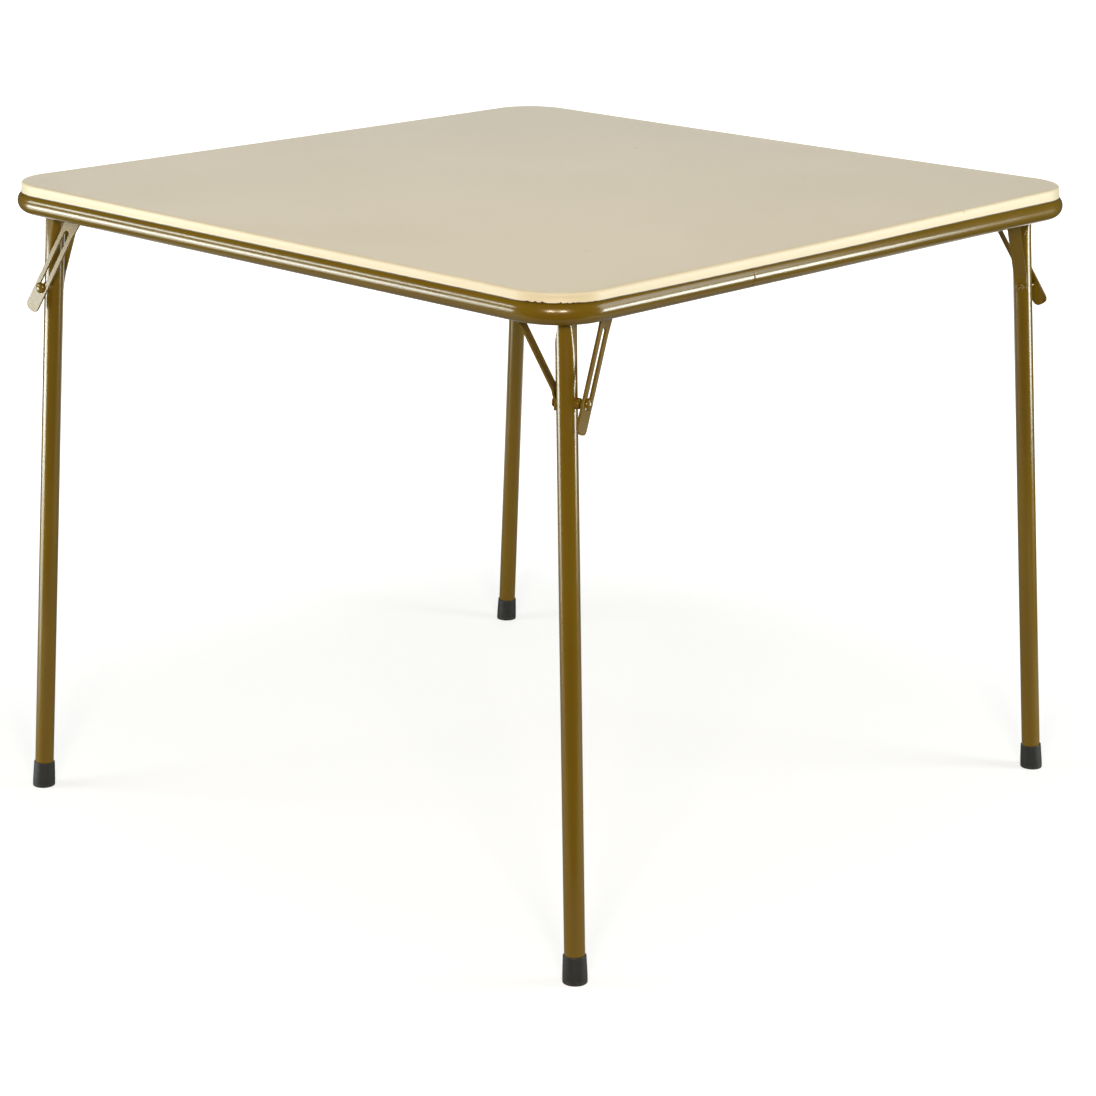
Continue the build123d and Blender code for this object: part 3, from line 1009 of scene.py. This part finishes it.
    def build(self, dresser: Dresser) -> None:
        """Makes the vinyl and the foam, and finishes the board.

        Args:
            dresser: Fits the pieces to the CAD frame.
        """
        cover = self.shell().make("vinyl_cover", dresser.finishes.vinyl, 50.0)
        dresser.place(cover, TOP_FRAME, "vinyl", "panel_cover")
        foam = self.pad().make("foam_pad", dresser.finishes.foam)
        dresser.place(foam, TOP_FRAME, "foam", "panel_foam")
        dresser.paint_node("panel_board", dresser.finishes.board)


@dataclass
class Leg:
    """Round tube leg, pressed flatter towards its hinge, on a rubber tip."""

    places: CornerPlaces
    wall: float = 1.2
    flat_length: float = 66.0
    flat_thickness: float = 16.0
    dent_height: float = -11.0
    dent_length: float = 30.0
    dent_depth: float = 8.0
    dent_hollow: float = 5.0
    end_radius: float = 12.0
    widening: float = 0.9
    widening_length: float = 46.0
    foot_cover: float = 6.0
    plain_heights: tuple[float, ...] = (-200.0, -90.0, -72.0)
    pressed_start: float = -68.0
    pressed_step: float = 2.0
    pressed_rings: int = 32
    sides: int = 96
    softness: float = 0.3

    def flats(self, height: float) -> tuple[float, float, float]:
        """Where the tube's pressed sides are at a height above the hinge.

        Args:
            height: Height above the hinge along the leg.

        Returns:
            How far the tube still reaches inboard and outboard, and how hollow its inboard side is.
        """
        free = self.places.sizes.leg_radius + self.softness
        share = min(max(1 + height / self.flat_length, 0.0), 1.0) ** 1.6
        outboard = free - (free - self.flat_thickness / 2) * share
        below = smooth_step(1 - (self.dent_height - height) / self.dent_length)
        above = 1 - smooth_step((height - self.dent_height) / -self.dent_height)
        share = below * above
        inboard = min(free - self.dent_depth * share, outboard if height > self.dent_height else free)
        return inboard, outboard, self.dent_hollow * share

    def section(self, height: float) -> list[Point]:
        """Cross-section at a height above the hinge, as points across and inboard.

        Args:
            height: Height above the hinge along the leg.

        Returns:
            The section's points.
        """
        radius = self.places.sizes.leg_radius
        wider = 1 + self.widening / radius * smooth_step(1 + height / self.widening_length)
        inboard, outboard, hollow = self.flats(height)
        points = []
        for step in range(self.sides):
            angle = math.tau * step / self.sides
            x, y = radius * math.cos(angle), radius * math.sin(angle)
            limit = inboard - hollow * (1 - (x / radius) ** 2) if y > 0 else outboard
            over = min((abs(y) - limit) / self.softness, 60.0)
            y = math.copysign(1.0, y) * (abs(y) - self.softness * math.log1p(math.exp(over)))
            points.append((x * wider, y))
        return points

    def end(self, x: float) -> float:
        """Height of the tube's round upper end above the hinge at a distance across."""
        return math.sqrt(max(self.end_radius**2 - x * x, 0.0))

    def tube(self, name: str, material: bpy.types.Material) -> bpy.types.Object:
        """Makes the tube with its mouth at the hinge.

        Args:
            name: Name of the object.
            material: Its material.

        Returns:
            The new object.
        """
        leg = self.places.leg()
        bottom = self.foot_cover - self.places.leg_length()
        heights = [bottom, bottom + 0.2, *self.plain_heights]
        heights += [self.pressed_start + self.pressed_step * step for step in range(self.pressed_rings)]
        start = heights[-1]
        shell = Shell()
        for height in heights:
            shell.add([leg.point(x, y, height) for x, y in self.section(height)])
        for share in (0.3, 0.6, 0.85, 1.0):
            rim = self.section(start)
            shell.add([leg.point(x, y, start + (self.end(x) - start) * share) for x, y in rim])
        for drop in (0.0, 6.0, 20.0):
            ring = []
            for x, y in self.section(start - drop):
                inner = 1 - self.wall / math.hypot(x, y)
                ring.append(leg.point(x * inner, y * inner, self.end(x) - drop))
            shell.add(ring)
        return shell.make(name, material, 60.0)

    def tip_profile(self) -> list[Point]:
        """Half section of the rubber tip, from its axis under the floor to its axis under the tube.

        Returns:
            The profile's points.
        """
        bore = self.places.sizes.leg_radius + 0.06
        points = [(0.0, -2.5), (9.5, -2.5)]
        points += [(9.5 + 3.3 * x, 0.8 + 3.3 * y) for x, y in arc(8, -90.0, 0.0)]
        points += [(12.75, 8.0), (12.5, 15.0), (12.2, 22.0), (12.0, 27.2)]
        points += [(10.9 + 1.1 * x, 27.9 + 1.1 * y) for x, y in arc(6)]
        points += [(bore, 28.8), (bore, 20.0), (bore, self.foot_cover - 0.1), (0.0, self.foot_cover - 0.1)]
        return points

    def tip(self, name: str, tree: GeometryTree, material: bpy.types.Material) -> bpy.types.Object:
        """Makes the rubber tip, cut level with the floor.

        Args:
            name: Name of the object.
            tree: The turned parts' node tree.
            material: The tip's material.

        Returns:
            The new object.
        """
        leg = self.places.leg()
        foot = Axes(leg.point(0, 0, -self.places.leg_length()), leg.x, leg.y, leg.z)
        made = TurnedPart(name, self.tip_profile(), foot, 72, 40.0).build(tree, material)
        work = bmesh.new()
        work.from_mesh(made.data)
        everything = work.verts[:] + work.edges[:] + work.faces[:]
        floor = {"plane_co": (0, 0, 0), "plane_no": (0, 0, 1), "clear_inner": True}
        cut = bmesh.ops.bisect_plane(work, geom=everything, dist=SAME_PLACE, **floor)["geom_cut"]
        edges = [item for item in cut if isinstance(item, bmesh.types.BMEdge)]
        bmesh.ops.holes_fill(work, edges=edges, sides=0)
        bmesh.ops.recalc_face_normals(work, faces=work.faces)
        work.to_mesh(made.data)
        work.free()
        made.data.set_sharp_from_angle(angle=math.radians(50))
        return made

    def build(self, dresser: Dresser, tree: GeometryTree) -> None:
        """Makes the tube and its tip.

        Args:
            dresser: Fits the pieces to the CAD frame.
            tree: The turned parts' node tree.
        """
        label = self.places.corner.label
        tube = self.tube(f"leg_{label}_tube", dresser.finishes.gold)
        dresser.place(tube, f"leg_{label}", PAINT_SLOT, f"leg_tube_{label}")
        tip = self.tip(f"leg_{label}_tip", tree, dresser.finishes.rubber)
        dresser.place(tip, f"leg_{label}", "foot_rubber", f"foot_tip_{label}")


@dataclass
class SheetMetal:
    """A pressed sheet part that keeps the CAD node's outline and gets rounded edges and its bends."""

    node: str
    name: str
    edge_round: float = 0.35
    flat_angle: float = 0.5
    edge_angle: float = 40.0
    sharp: float = 15.0
    cuts: list[tuple[Vector, Vector]] = field(default_factory=list)
    bend: Optional[Callable[[Vector], Vector]] = None

    def build(self, material: bpy.types.Material) -> bpy.types.Object:
        """Makes the part from a merged copy of the node's mesh.

        Args:
            material: Its material.

        Returns:
            The new object.
        """
        work = bmesh.new()
        work.from_mesh(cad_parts[self.node].data)
        bmesh.ops.remove_doubles(work, verts=work.verts, dist=MERGE_REACH)
        flat = math.radians(self.flat_angle)
        bmesh.ops.dissolve_limit(work, angle_limit=flat, verts=work.verts, edges=work.edges)
        for place, normal in self.cuts:
            everything = work.verts[:] + work.edges[:] + work.faces[:]
            bmesh.ops.bisect_plane(
                work, geom=everything, dist=SAME_PLACE, plane_co=place * MM, plane_no=normal
            )
        if self.bend is not None:
            for vertex in work.verts:
                vertex.co = self.bend(vertex.co / MM) * MM
        mesh = bpy.data.meshes.new(self.name)
        work.to_mesh(mesh)
        work.free()
        source = linked("sheet", mesh)
        bevel = source.modifiers.new("rounded", "BEVEL")
        bevel.width = self.edge_round * MM
        bevel.segments = 2
        bevel.limit_method = "ANGLE"
        bevel.angle_limit = math.radians(self.edge_angle)
        bevel.use_clamp_overlap = True
        return object_from_mesh(applied(source, self.name), self.name, material, self.sharp)


@dataclass
class LegLock:
    """Strap, slotted brace, collar and sliding rivet that hold one leg."""

    places: CornerPlaces
    strap_turn: float = 78.3
    strap_thickness: float = 2.0
    bend_start: float = 1.0
    bend_length: float = 10.0
    brace_outboard: float = 19.6
    brace_thickness: float = 2.4
    brace_pivot: float = 49.0
    brace_tail: float = 22.0
    brace_bluntness: float = 2.8
    collar_start: float = 8.4
    collar_end: float = 15.5
    dome_radius: float = 6.1
    dome_height: float = 3.6

    def strap_rivet_axes(self) -> Axes:
        """Axes on the tube's surface at the strap's rivet, with z outward.

        Returns:
            The axes in the table's frame.
        """
        leg, sizes = self.places.leg(), self.places.sizes
        turn = math.radians(self.strap_turn)
        outward = leg.y * math.sin(turn) - leg.x * math.cos(turn)
        origin = leg.point(0, 0, -sizes.rivet_from_hinge) + outward * sizes.leg_radius
        return Axes(origin, leg.z.cross(outward), leg.z, outward)

    def curled(self, place: Vector) -> Vector:
        """A point of the strap, wrapped round the tube below its bend.

        Args:
            place: The point on the CAD's strap.

        Returns:
            Its place on the curled one.
        """
        seat = self.strap_rivet_axes()
        x, y, z = seat.local(place)
        tube = self.places.sizes.leg_radius
        radius = tube + z
        share = 1 - smooth_step((y - self.bend_start) / self.bend_length)
        wrapped = Vector((radius * math.sin(x / radius), y, radius * math.cos(x / radius) - tube))
        return seat.point(*Vector((x, y, z)).lerp(wrapped, share))

    def brace_end_axes(self) -> Axes:
        """Axes at the middle of the brace's round end, with x along the brace and z outboard.

        Returns:
            The axes in the table's frame.
        """
        hinge = self.places.hinge()
        rivet = hinge.local(self.places.slide_rivet().origin)
        along = (hinge.x * (rivet.x - self.brace_pivot) + hinge.y * rivet.y).normalized()
        origin = hinge.point(rivet.x, rivet.y, self.brace_outboard) + along * self.brace_tail
        return Axes(origin, along, hinge.z.cross(along), hinge.z)

    def blunted(self, place: Vector) -> Vector:
        """A point of the brace, with the round end pushed out to a blunt one with round corners.

        Args:
            place: The point on the CAD's brace.

        Returns:
            Its place on the blunt one.
        """
        end = self.brace_end_axes()
        x, y, z = end.local(place)
        reach = math.hypot(x, y)
        if x <= 0 or reach < 1:
            return place
        power = self.brace_bluntness
        share = (abs(x / reach) ** power + abs(y / reach) ** power) ** (-1 / power)
        return end.point(x * share, y * share, z)

    def strap_rivet(self) -> list[Point]:
        """Half section of the strap's hollow rivet.

        Returns:
            The points, from the axis at the bottom to the axis at the top.
        """
        face = self.strap_thickness + 0.2
        head = [(4.4, 0.0), (4.6, 0.3), (4.4, 0.9), (3.7, 1.45), (2.9, 1.6), (2.3, 1.4)]
        head += [(1.9, 0.9), (1.4, 0.5), (0.7, 0.35), (0.0, 0.3)]
        points = [(0.0, -2.4), (2.4, -2.4), (2.4, face)]
        return points + [(radius, face + height) for radius, height in head]

    def collar(self) -> list[Point]:
        """Half section of the collar on the leg.

        Returns:
            The points, from the axis at the bottom to the axis at the top.
        """
        start, end = self.collar_start, self.collar_end
        points = [(0.0, start), (5.5, start), (5.5, end - 1.7)]
        return points + [(5.35, end - 0.9), (4.9, end - 0.3), (4.3, end), (0.0, end)]

    def slide_rivet(self, brace_face: float) -> list[Point]:
        """Half section of the sliding rivet, whose head stands over the brace.

        Args:
            brace_face: Height of the brace's inner face above the leg's axis.

        Returns:
            The points, from the axis at the bottom to the axis at the top.
        """
        start = self.collar_end + 0.3
        head = brace_face + self.brace_thickness + 0.3
        points = [(0.0, start), (2.75, start), (2.75, head), (5.8, head)]
        for x, y in arc(8)[:-1]:
            points.append((self.dome_radius * x, head + 0.2 + (self.dome_height - 0.2) * y))
        return points + [(0.0, head + self.dome_height)]

    def build(self, dresser: Dresser, tree: GeometryTree) -> None:
        """Makes the strap, its rivet, the brace, the collar and the sliding rivet.

        Args:
            dresser: Fits the pieces to the CAD frame.
            tree: The turned parts' node tree.
        """
        label = self.places.corner.label
        gold = dresser.finishes.gold
        leg = f"leg_{label}"
        seat, slide = self.strap_rivet_axes(), self.places.slide_rivet()
        cuts = [(seat.point(x, 0, 0), seat.x) for x in (-5.0, -2.5, 0.0, 2.5, 5.0)]
        cuts += [(seat.point(0, y, 0), seat.y) for y in (1.0, 4.0, 7.0, 10.0)]
        strap = SheetMetal(f"strap_{label}", f"strap_plate_{label}", cuts=cuts, bend=self.curled)
        dresser.place(strap.build(gold), leg, PAINT_SLOT, f"strap_{label}")
        brace = SheetMetal(f"slotted_brace_{label}", f"brace_plate_{label}", bend=self.blunted)
        dresser.place(brace.build(gold), f"brace_{label}", PAINT_SLOT, f"slotted_brace_{label}")
        head = TurnedPart(f"strap_rivet_head_{label}", self.strap_rivet(), seat)
        dresser.place(head.build(tree, gold), leg, PAINT_SLOT, f"strap_rivet_{label}")
        collar = TurnedPart(f"collar_{label}", self.collar(), slide, sharp=50.0)
        dresser.place(collar.build(tree, gold), leg, PAINT_SLOT, f"rivet_collar_{label}")
        brace_face = self.brace_outboard - self.places.hinge().local(slide.origin).z
        rivet = TurnedPart(f"slide_rivet_head_{label}", self.slide_rivet(brace_face), slide)
        dresser.place(rivet.build(tree, gold), f"rivet_{label}", PAINT_SLOT, f"slide_rivet_{label}")


@dataclass
class CornerFittings:
    """Bracket, screws and pins of one corner."""

    places: CornerPlaces

    def build(self, dresser: Dresser) -> None:
        """Makes the bracket and finishes the fasteners.

        Args:
            dresser: Fits the pieces to the CAD frame.
        """
        label = self.places.corner.label
        bracket = SheetMetal(f"bracket_{label}", f"bracket_plate_{label}").build(dresser.finishes.gold)
        dresser.place(bracket, TOP_FRAME, PAINT_SLOT, f"bracket_{label}")
        for node in ("bracket_screws", "hinge_pin", "brace_pin"):
            dresser.paint_node(f"{node}_{label}", dresser.finishes.steel)


# Studio


@dataclass(frozen=True)
class Lamp:
    """A soft rectangular lamp, with its places and sizes in metres and its power in watts."""

    name: str
    place: tuple[float, float, float]
    size: Point
    power: float
    tint: tuple[float, float, float]
    target: tuple[float, float, float] = (0, 0, 0.5)

    def hang(self) -> None:
        """Adds the lamp to the scene."""
        data = bpy.data.lights.new(self.name, "AREA")
        data.shape = "RECTANGLE"
        data.size, data.size_y = self.size
        data.energy, data.color = self.power, self.tint
        made = linked(self.name, data)
        made.location = self.place
        made.rotation_mode = "QUATERNION"
        made.rotation_quaternion = (Vector(self.target) - Vector(self.place)).to_track_quat("-Z", "Y")


@dataclass
class Studio:
    """Camera, lamps, pale floor and surroundings."""

    camera_place: Vector = field(default_factory=lambda: Vector((-2422.87, -2290.92, 1294.16)))
    azimuth: float = -46.78
    elevation: float = 16.95
    roll: float = 0.62
    focal_pixels: float = 3007.1
    picture_pixels: float = 1096.0
    room_light: float = 0.06
    sweep_front: float = 0.92
    sweep_back: float = 1.1
    sweep_bend: float = 0.6
    sweep_height: float = 1.8
    sweep_width: float = 2.1
    sweep_drop: float = 0.0005
    sweep_columns: int = 12
    near_lift: float = 0.72

    def camera(self) -> None:
        """Sets the camera at the photograph's viewpoint."""
        data = bpy.data.cameras.new("view")
        data.sensor_width = 36.0
        data.lens = self.focal_pixels * data.sensor_width / self.picture_pixels
        data.clip_end = 100.0
        turn, rise, tip = (math.radians(a) for a in (self.azimuth, self.elevation, self.roll))
        level = math.cos(rise)
        back = Vector((math.sin(turn) * level, -math.cos(turn) * level, math.sin(rise)))
        right = Vector((math.cos(turn), math.sin(turn), 0))
        up = back.cross(right)
        level_right = right * math.cos(tip) + up * math.sin(tip)
        level_up = up * math.cos(tip) - right * math.sin(tip)
        made = linked("view", data)
        rows = Matrix((level_right, level_up, back)).transposed().to_4x4()
        made.matrix_world = Matrix.Translation(self.camera_place * MM) @ rows
        bpy.context.scene.camera = made

    def lamps(self) -> None:
        """Adds two warm lamps before the table, low and tall cool ones on each side, and one overhead."""
        beside = (0, 0.5, 0.5)
        warm, cool, plain = (1.0, 0.9, 0.72), (0.92, 1.0, 0.96), (1.0, 1.0, 1.0)
        for lamp in (
            Lamp("front_left_lamp", (-2.78, -1.9, 1.52), (0.5, 0.5), 42.0, warm),
            Lamp("front_right_lamp", (-2.05, -2.69, 1.52), (0.5, 0.5), 42.0, warm),
            Lamp("left_low_box", (-1.95, 1.8, 0.24), (1.3, 0.46), 27.0, cool, beside),
            Lamp("left_floor_box", (-1.5, 1.45, 0.06), (1.1, 0.5), 10.0, cool, beside),
            Lamp("left_tall_box", (-1.9, 1.65, 1.25), (1.35, 0.28), 17.5, cool, beside),
            Lamp("right_low_box", (1.45, -1.9, 0.36), (0.8, 0.6), 27.0, cool),
            Lamp("right_tall_box", (1.25, -1.9, 1.4), (0.9, 1.0), 12.0, cool),
            Lamp("over_box", (-0.22, -0.22, 2.5), (0.7, 0.7), 11.0, plain),
        ):
            lamp.hang()

    def surroundings(self) -> None:
        """Sets the dim room around the paper sweep."""
        world = bpy.data.worlds.new("surroundings")
        bpy.context.scene.world = world
        world.use_nodes = True
        inputs = world.node_tree.nodes["Background"].inputs
        inputs["Color"].default_value = (1, 1, 1, 1)
        inputs["Strength"].default_value = self.room_light

    def sweep(self) -> None:
        """Lays the white paper that runs from before the table to behind it and up."""
        bend = self.sweep_bend
        profile: list[Point] = [(self.sweep_front, 0.0), (0.0, 0.0), (-self.sweep_back, 0.0)]
        profile += [(-self.sweep_back - bend * y, bend - bend * x) for x, y in arc(12)[1:]]
        profile.append((-self.sweep_back - bend, self.sweep_height))
        turn = Matrix.Rotation(math.radians(self.azimuth), 3, "Z")
        points: list[Vector] = []
        for column in range(self.sweep_columns + 1):
            across = self.sweep_width * (column / self.sweep_columns - 0.5)
            points += [turn @ Vector((across, -depth, height)) for depth, height in profile]
        rows = len(profile)
        faces = []
        for column in range(self.sweep_columns):
            for first in range(column * rows, column * rows + rows - 1):
                faces.append((first, first + rows, first + rows + 1, first + 1))
        mesh = bpy.data.meshes.new("paper_sweep")
        mesh.from_pydata(points, [], faces)
        made = object_from_mesh(mesh, "paper_sweep", self.paper(), 60.0)
        made.location.z = -self.sweep_drop

    def paper(self) -> bpy.types.Material:
        """White paper, lifted where it is seen so that it is white and keeps the table's shadow.

        Returns:
            The material.
        """
        surface = SurfaceTree("white_paper")
        surface.set(Base_Color=(0.42, 0.42, 0.42, 1), Roughness=0.9)
        path = surface.add("ShaderNodeLightPath")
        far = surface.add("ShaderNodeVectorMath", {0: surface.place}, operation="LENGTH")["Value"]
        mirrored = surface.math("MAXIMUM", path["Is Glossy Ray"], path["Is Transmission Ray"])
        backdrop = surface.math("MULTIPLY", mirrored, surface.ramp(far, 0.8, 1.6))
        lifted = surface.ramp(far, 0.6, 1.4, self.near_lift, 1.0)
        plain = surface.math("MULTIPLY", path["Is Camera Ray"], lifted)
        surface.set(Emission_Color=(1, 1, 1, 1), Emission_Strength=surface.math("MAXIMUM", backdrop, plain))
        return surface.material

    def build(self) -> None:
        """Sets the whole studio."""
        self.camera()
        self.lamps()
        self.surroundings()
        self.sweep()
        bpy.context.scene.view_settings.view_transform = "Standard"


def main() -> None:
    """Builds the studio and the table in order."""
    logging.basicConfig(level=logging.INFO, format="%(name)s: %(message)s")
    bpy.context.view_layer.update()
    Studio().build()
    sizes = TableSizes()
    dresser = Dresser(Finishes())
    turned = turned_part_tree()
    Rail(sizes).build(dresser)
    PaddedTop(sizes).build(dresser)
    for corner in Corner:
        places = CornerPlaces(corner, sizes)
        Leg(places).build(dresser, turned)
        LegLock(places).build(dresser, turned)
        CornerFittings(places).build(dresser)
    log.info("%d pieces made", dresser.count)


if __name__ == "__main__":
    main()
